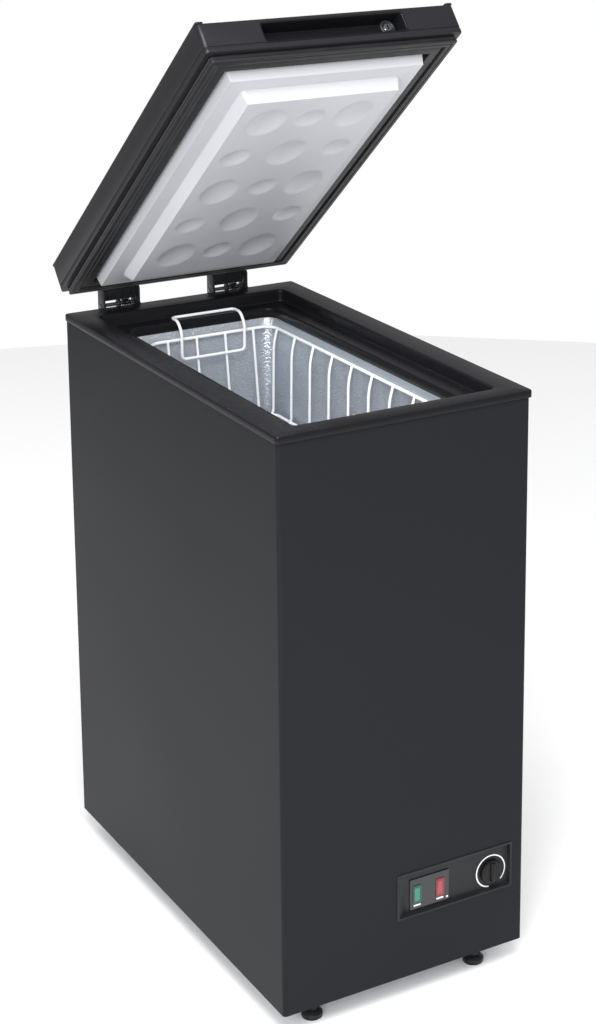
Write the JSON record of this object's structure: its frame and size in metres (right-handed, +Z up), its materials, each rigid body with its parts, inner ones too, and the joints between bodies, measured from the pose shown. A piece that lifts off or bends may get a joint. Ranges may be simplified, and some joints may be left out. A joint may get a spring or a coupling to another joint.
{
  "type": "chest freezer",
  "caption": "Slim top-opening chest freezer with a hinged insulated lid, wire basket, front control panel and levelling feet.",
  "frame": {"origin": "centre of the bounding box at floor level, under the levelling feet, with the lid raised 40 degrees as shown", "axes": "+Z up, the front with the control panel faces -Y, +X to the right when facing the front"},
  "size_m": [0.37, 0.6868, 1.2828],
  "materials": {
    "black_paint": "satin black powder coat",
    "gloss_black": "smooth black moulding",
    "matt_black": "matt black moulding",
    "black_steel": "black enamelled steel",
    "white_abs": "white vacuum-formed sheet",
    "foam": "rigid insulating foam",
    "aluminium": "stucco aluminium sheet",
    "zinc": "zinc-plated steel",
    "copper": "copper tube",
    "rubber": "black rubber",
    "white_wire": "white coated wire",
    "green_lens": "green lamp lens",
    "red_lens": "red lamp lens"
  },
  "bodies": {
    "cabinet": {"outer_wrapper": "black_paint", "rear_panel": "black_paint", "rear_grille": "matt_black", "cord_gland": "rubber", "base_pan": "zinc", "rim_collar": "gloss_black", "liner": "aluminium", "foam_body": "foam", "bay_lining": "zinc", "evaporator_coil": "copper", "condenser_coil": "copper", "compressor": "black_steel", "compressor_rails": "zinc", "compressor_cradle": "zinc", "grommet_front_left": "rubber", "grommet_front_right": "rubber", "grommet_back_left": "rubber", "grommet_back_right": "rubber", "relay_cover": "matt_black", "filter_drier": "copper", "discharge_tube": "copper", "suction_tube": "copper", "control_bezel": "matt_black", "lamp_plate": "gloss_black", "lamp_green": "green_lens", "lamp_red": "red_lens", "lamp_holder": "matt_black", "control_box": "matt_black", "thermostat_body": "white_abs", "hinge_bracket_left": "black_steel", "hinge_bracket_right": "black_steel", "hinge_pin_left": "zinc", "hinge_pin_right": "zinc", "hinge_spring_left": "zinc", "hinge_spring_right": "zinc"},
    "lid": {"lid_frame": "gloss_black", "lid_skin": "black_paint", "lid_foam": "foam", "lid_panel": "white_abs", "lid_gasket": "rubber", "handle_cup": "gloss_black", "lock_barrel": "matt_black", "hinge_leaf_left": "black_steel", "hinge_leaf_right": "black_steel"},
    "lock": {"lock_cylinder": "zinc", "lock_cam": "zinc"},
    "basket": {"basket_floor": "white_wire", "basket_left": "white_wire", "basket_right": "white_wire", "basket_front": "white_wire", "basket_back": "white_wire", "basket_handle_back": "white_wire", "basket_handle_front": "white_wire"},
    "knob": {"temperature_knob": "matt_black", "thermostat_shaft": "zinc"},
    "foot_front_left_body": {"foot_front_left": "matt_black"},
    "foot_front_right_body": {"foot_front_right": "matt_black"},
    "foot_back_left_body": {"foot_back_left": "matt_black"},
    "foot_back_right_body": {"foot_back_right": "matt_black"}
  },
  "joints": [
    {"name": "lid_hinge", "type": "hinge", "parent": "cabinet", "child": "lid", "pos_m": [0, 0.33061, 0.806], "axis": [-1, 0, 0], "range_deg": [-40, 45]},
    {"name": "lock_turn", "type": "hinge", "parent": "lid", "child": "lock", "pos_m": [0.082, -0.15516, 1.2593], "axis": [0, 0.766, -0.6428], "range_deg": [0, 90]},
    {"name": "basket_lift", "type": "slide", "parent": "cabinet", "child": "basket", "axis": [0, 0, 1], "range_m": [0, 0.045]},
    {"name": "thermostat_turn", "type": "hinge", "parent": "cabinet", "child": "knob", "pos_m": [0.1348, -0.34089, 0.1444], "axis": [0, 1, 0], "range_deg": [-180, 120]},
    {"name": "foot_front_left_turn", "type": "hinge", "parent": "cabinet", "child": "foot_front_left_body", "pos_m": [-0.125, -0.30939, 0.013], "axis": [0, 0, 1], "continuous": true},
    {"name": "foot_front_right_turn", "type": "hinge", "parent": "cabinet", "child": "foot_front_right_body", "pos_m": [0.125, -0.30939, 0.013], "axis": [0, 0, 1], "continuous": true},
    {"name": "foot_back_left_turn", "type": "hinge", "parent": "cabinet", "child": "foot_back_left_body", "pos_m": [-0.125, 0.26261, 0.013], "axis": [0, 0, 1], "continuous": true},
    {"name": "foot_back_right_turn", "type": "hinge", "parent": "cabinet", "child": "foot_back_right_body", "pos_m": [0.125, 0.26261, 0.013], "axis": [0, 0, 1], "continuous": true}
  ]
}
